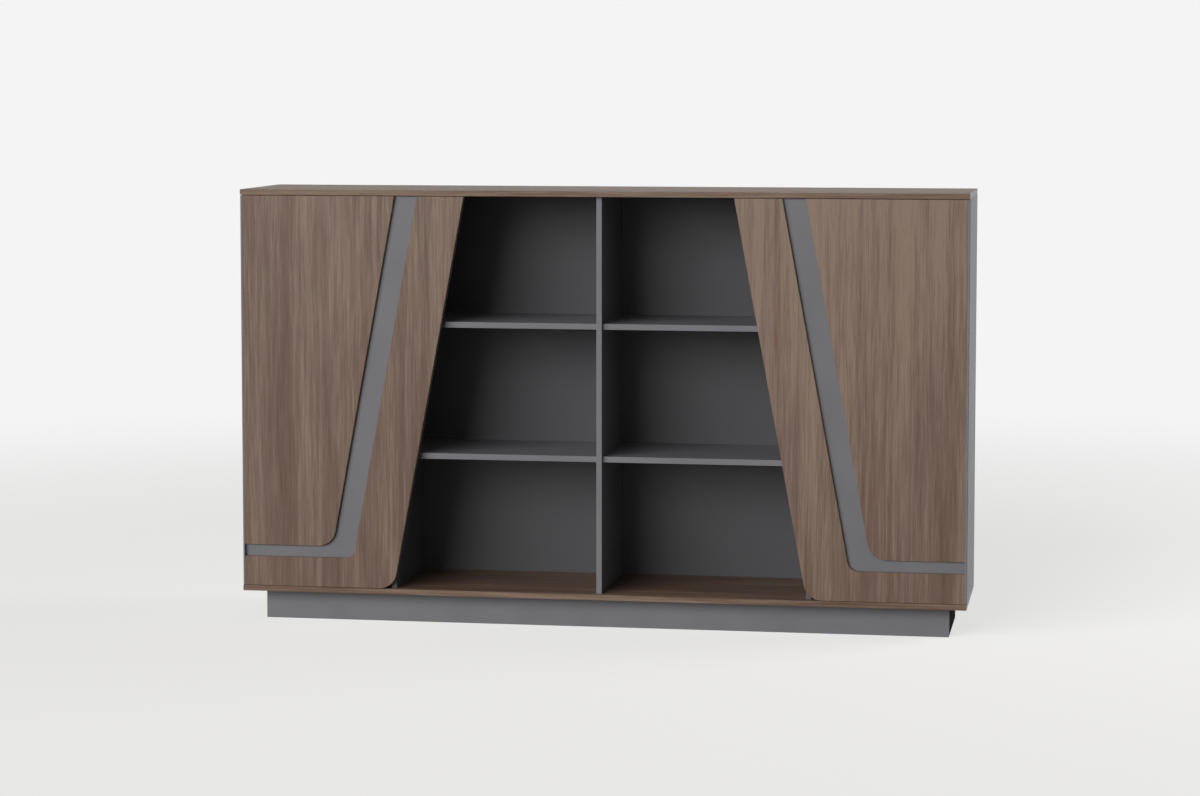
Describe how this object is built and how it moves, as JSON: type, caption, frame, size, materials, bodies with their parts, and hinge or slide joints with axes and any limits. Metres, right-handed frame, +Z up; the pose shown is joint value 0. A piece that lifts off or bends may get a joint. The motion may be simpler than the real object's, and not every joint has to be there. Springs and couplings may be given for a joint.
{
  "type": "office credenza",
  "caption": "Long office credenza with slant-edged grooved doors on concealed hinges at both ends, open shelved bays between them, and a recessed plinth.",
  "frame": {"origin": "on the floor, under the middle of the cabinet's box", "axes": "+X to the right of someone who faces the doors, -Y towards them, +Z up"},
  "size_m": [2, 0.4, 1.2],
  "materials": {
    "walnut_veneer": "matt grey-brown walnut decor with straight grain",
    "grey_laminate": "matt grey melamine on board",
    "groove_grey": "matt grey lacquered board",
    "dark_grey_laminate": "matt dark grey melamine on board",
    "grey_edging": "matt grey edge band",
    "hinge_steel": "nickel-plated pressed steel"
  },
  "bodies": {
    "carcass": {"top_panel": "walnut_veneer", "bottom_panel": "walnut_veneer", "centre_divider": "grey_laminate", "left_side_panel": "grey_laminate", "left_partition": "grey_laminate", "left_cabinet_lower_shelf": "grey_laminate", "left_cabinet_upper_shelf": "grey_laminate", "left_bay_lower_shelf": "grey_laminate", "left_bay_upper_shelf": "grey_laminate", "right_side_panel": "grey_laminate", "right_partition": "grey_laminate", "right_cabinet_lower_shelf": "grey_laminate", "right_cabinet_upper_shelf": "grey_laminate", "right_bay_lower_shelf": "grey_laminate", "right_bay_upper_shelf": "grey_laminate", "plinth_front_rail": "dark_grey_laminate", "plinth_back_rail": "dark_grey_laminate", "plinth_brace": "dark_grey_laminate", "left_cabinet_back": "dark_grey_laminate", "left_bay_back": "dark_grey_laminate", "plinth_left_rail": "dark_grey_laminate", "right_cabinet_back": "dark_grey_laminate", "right_bay_back": "dark_grey_laminate", "plinth_right_rail": "dark_grey_laminate", "top_left_edging": "grey_edging", "bottom_left_edging": "grey_edging", "top_right_edging": "grey_edging", "bottom_right_edging": "grey_edging", "left_lower_hinge_arm": "hinge_steel", "left_lower_hinge_plate": "hinge_steel", "left_middle_hinge_arm": "hinge_steel", "left_middle_hinge_plate": "hinge_steel", "left_upper_hinge_arm": "hinge_steel", "left_upper_hinge_plate": "hinge_steel", "right_lower_hinge_arm": "hinge_steel", "right_lower_hinge_plate": "hinge_steel", "right_middle_hinge_arm": "hinge_steel", "right_middle_hinge_plate": "hinge_steel", "right_upper_hinge_arm": "hinge_steel", "right_upper_hinge_plate": "hinge_steel"},
    "left_hinge_links": {"left_lower_hinge_link": "hinge_steel", "left_middle_hinge_link": "hinge_steel", "left_upper_hinge_link": "hinge_steel"},
    "left_door": {"left_door_base": "groove_grey", "left_door_border": "walnut_veneer", "left_door_field": "walnut_veneer", "left_lower_hinge_cup": "hinge_steel", "left_middle_hinge_cup": "hinge_steel", "left_upper_hinge_cup": "hinge_steel"},
    "right_hinge_links": {"right_lower_hinge_link": "hinge_steel", "right_middle_hinge_link": "hinge_steel", "right_upper_hinge_link": "hinge_steel"},
    "right_door": {"right_door_base": "groove_grey", "right_door_border": "walnut_veneer", "right_door_field": "walnut_veneer", "right_lower_hinge_cup": "hinge_steel", "right_middle_hinge_cup": "hinge_steel", "right_upper_hinge_cup": "hinge_steel"}
  },
  "joints": [
    {"name": "left_links_swing", "type": "hinge", "parent": "carcass", "child": "left_hinge_links", "pos_m": [-0.96233, -0.18268, 0.65], "axis": [0, 0, -1], "range_deg": [-32, 0]},
    {"name": "left_door_swing", "type": "hinge", "parent": "left_hinge_links", "child": "left_door", "pos_m": [-0.984, -0.1865, 0.65], "axis": [0, 0, -1], "range_deg": [0, 128]},
    {"name": "right_links_swing", "type": "hinge", "parent": "carcass", "child": "right_hinge_links", "pos_m": [0.96233, -0.18268, 0.65], "axis": [0, 0, 1], "range_deg": [-32, 0]},
    {"name": "right_door_swing", "type": "hinge", "parent": "right_hinge_links", "child": "right_door", "pos_m": [0.984, -0.1865, 0.65], "axis": [0, 0, 1], "range_deg": [0, 128]}
  ],
  "couplings": [
    {"joint": "left_links_swing", "follows": "left_door_swing", "ratio": -0.25},
    {"joint": "right_links_swing", "follows": "right_door_swing", "ratio": -0.25}
  ]
}
